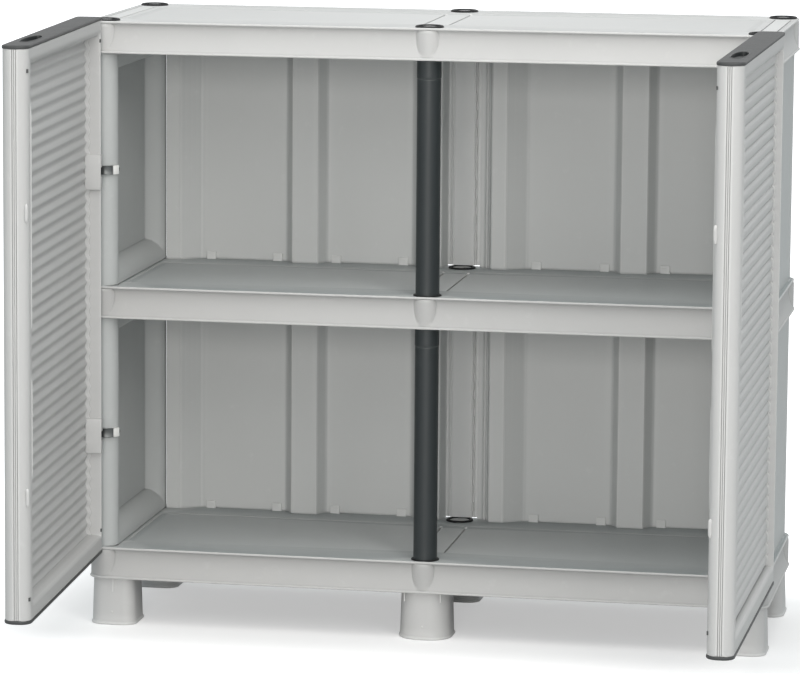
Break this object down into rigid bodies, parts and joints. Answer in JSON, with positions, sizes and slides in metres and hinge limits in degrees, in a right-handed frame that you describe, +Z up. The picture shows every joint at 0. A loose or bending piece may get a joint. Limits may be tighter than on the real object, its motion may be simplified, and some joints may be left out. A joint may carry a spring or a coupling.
{
  "type": "garden storage cabinet",
  "caption": "Low plastic garden cabinet on feet, open tiers of hollow shelf panels on round posts, ribbed back, and hollow corrugated doors standing open on side hinges.",
  "frame": {"origin": "on the floor, straight under the axis of the front middle column", "axes": "+Z up, front of the cabinet towards -Y, +X to the right as seen from the front; doors stored open"},
  "size_m": [1.043, 0.8715, 0.916],
  "materials": {
    "shelf_plastic": "fine-grained, slightly satin light warm grey",
    "panel_plastic": "smooth light warm grey sheet",
    "door_plastic": "fine-grained light warm grey",
    "dark_plastic": "dark grey, matt",
    "column_plastic": "dark grey-green, satin",
    "steel": "plain zinc-plated",
    "white_plastic": "white, smooth"
  },
  "bodies": {
    "cabinet": {"base_panel": "shelf_plastic", "middle_shelf": "shelf_plastic", "top_panel": "shelf_plastic", "foot_front_left": "shelf_plastic", "foot_front_middle": "shelf_plastic", "foot_front_right": "shelf_plastic", "foot_rear_left": "shelf_plastic", "foot_rear_middle": "shelf_plastic", "foot_rear_right": "shelf_plastic", "front_column_lower": "column_plastic", "column_sleeve_lower": "column_plastic", "back_strip_lower": "panel_plastic", "side_panel_left_lower": "panel_plastic", "back_panel_left_lower": "panel_plastic", "side_panel_right_lower": "panel_plastic", "back_panel_right_lower": "panel_plastic", "front_column_upper": "column_plastic", "column_sleeve_upper": "column_plastic", "back_strip_upper": "panel_plastic", "side_panel_left_upper": "panel_plastic", "back_panel_left_upper": "panel_plastic", "side_panel_right_upper": "panel_plastic", "back_panel_right_upper": "panel_plastic", "back_panel_clips": "shelf_plastic", "socket_ring_top_front_left": "dark_plastic", "socket_ring_top_front_middle": "dark_plastic", "socket_ring_top_front_right": "dark_plastic", "socket_ring_top_rear_left": "dark_plastic", "socket_ring_top_rear_middle": "dark_plastic", "socket_ring_top_rear_right": "dark_plastic", "socket_ring_middle_shelf": "dark_plastic", "socket_ring_base": "dark_plastic", "socket_plugs": "shelf_plastic", "column_base_rings": "dark_plastic", "hinge_arm_left_lower": "steel", "hinge_collar_left_lower": "white_plastic", "hinge_arm_left_upper": "steel", "hinge_collar_left_upper": "white_plastic", "hinge_arm_right_lower": "steel", "hinge_collar_right_lower": "white_plastic", "hinge_arm_right_upper": "steel", "hinge_collar_right_upper": "white_plastic", "hinge_screws": "steel"},
    "left_door": {"door_left_outer_shell": "door_plastic", "door_left_inner_shell": "door_plastic", "door_left_top_cap": "dark_plastic", "door_left_bottom_cap": "dark_plastic", "hinge_block_left_lower": "door_plastic", "hinge_pin_left_lower": "steel", "hinge_block_left_upper": "door_plastic", "hinge_pin_left_upper": "steel"},
    "right_door": {"door_right_outer_shell": "door_plastic", "door_right_inner_shell": "door_plastic", "door_right_top_cap": "dark_plastic", "door_right_bottom_cap": "dark_plastic", "hinge_block_right_lower": "door_plastic", "hinge_pin_right_lower": "steel", "hinge_block_right_upper": "door_plastic", "hinge_pin_right_upper": "steel"}
  },
  "joints": [
    {"name": "left_door_hinge", "type": "hinge", "parent": "cabinet", "child": "left_door", "pos_m": [-0.502, -0.0445, 0.4895], "axis": [0, 0, 1], "range_deg": [-23, 87]},
    {"name": "right_door_hinge", "type": "hinge", "parent": "cabinet", "child": "right_door", "pos_m": [0.502, -0.0445, 0.4895], "axis": [0, 0, 1], "range_deg": [-89.5, 20.5]}
  ]
}
